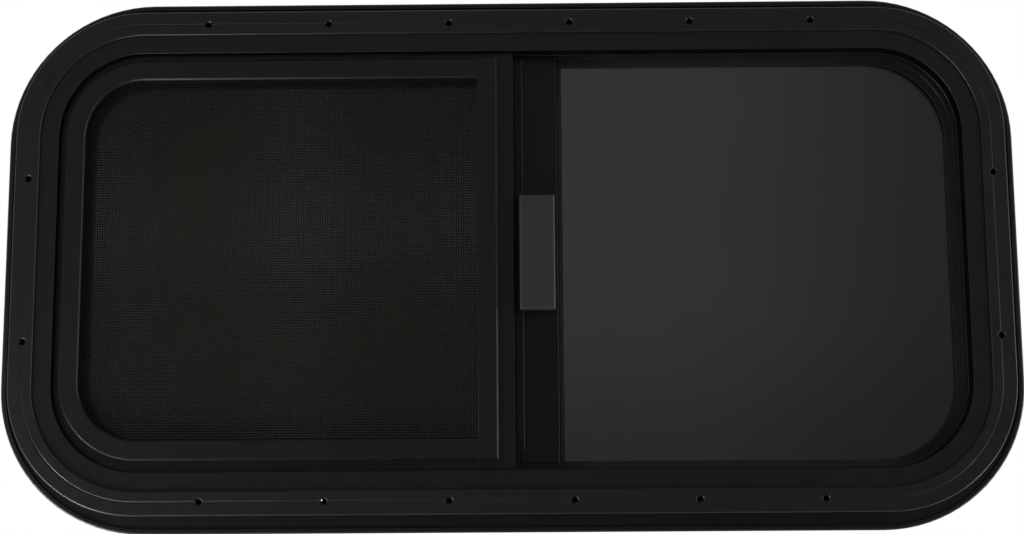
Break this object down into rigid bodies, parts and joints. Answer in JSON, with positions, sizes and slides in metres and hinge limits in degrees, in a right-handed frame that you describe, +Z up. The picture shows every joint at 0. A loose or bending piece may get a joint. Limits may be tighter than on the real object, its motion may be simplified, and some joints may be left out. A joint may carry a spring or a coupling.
{
  "type": "caravan window",
  "caption": "Horizontal sliding window for a caravan wall: bent flanged frame, clamp ring, fixed and sliding tinted panes, pull handle and insect screen.",
  "frame": {"origin": "middle of the window, on the plane where the outer flange's rim meets the wall", "axes": "+Z up, -Y into the caravan, +Y outdoors, +X to the right as seen from inside"},
  "size_m": [0.8024, 0.0364, 0.4234],
  "materials": {
    "black_powder_coat": "fine satin black powder coat on aluminium",
    "tinted_glass": "dark green-grey tinted safety glass",
    "black_rubber": "matt black rubber",
    "brush_pile": "black woven brush pile",
    "black_nylon": "moulded black nylon",
    "grey_plastic": "moulded charcoal plastic with a fine grain",
    "zinc_steel": "zinc-plated steel",
    "insect_mesh": "black woven insect mesh"
  },
  "bodies": {
    "root": {"main_frame": "black_powder_coat", "trim_ring": "black_powder_coat", "fixed_glass": "tinted_glass", "fixed_glass_seal": "black_rubber", "centre_mullion": "black_powder_coat", "mullion_clip_top": "zinc_steel", "mullion_clip_bottom": "zinc_steel", "mullion_pile": "brush_pile", "run_channel": "black_rubber", "sliding_glass": "tinted_glass", "sliding_stile": "black_powder_coat", "sliding_stile_seal": "black_rubber", "stile_cap_top": "black_nylon", "stile_cap_bottom": "black_nylon", "pane_glide_left": "black_nylon", "pane_glide_right": "black_nylon", "handle": "grey_plastic", "screen_rail": "black_powder_coat", "screen_stile": "black_powder_coat", "screen_mesh": "insect_mesh", "screen_spline": "black_rubber", "screen_pile": "brush_pile", "screen_foot_left": "black_nylon", "screen_foot_right": "black_nylon"}
  },
  "joints": []
}
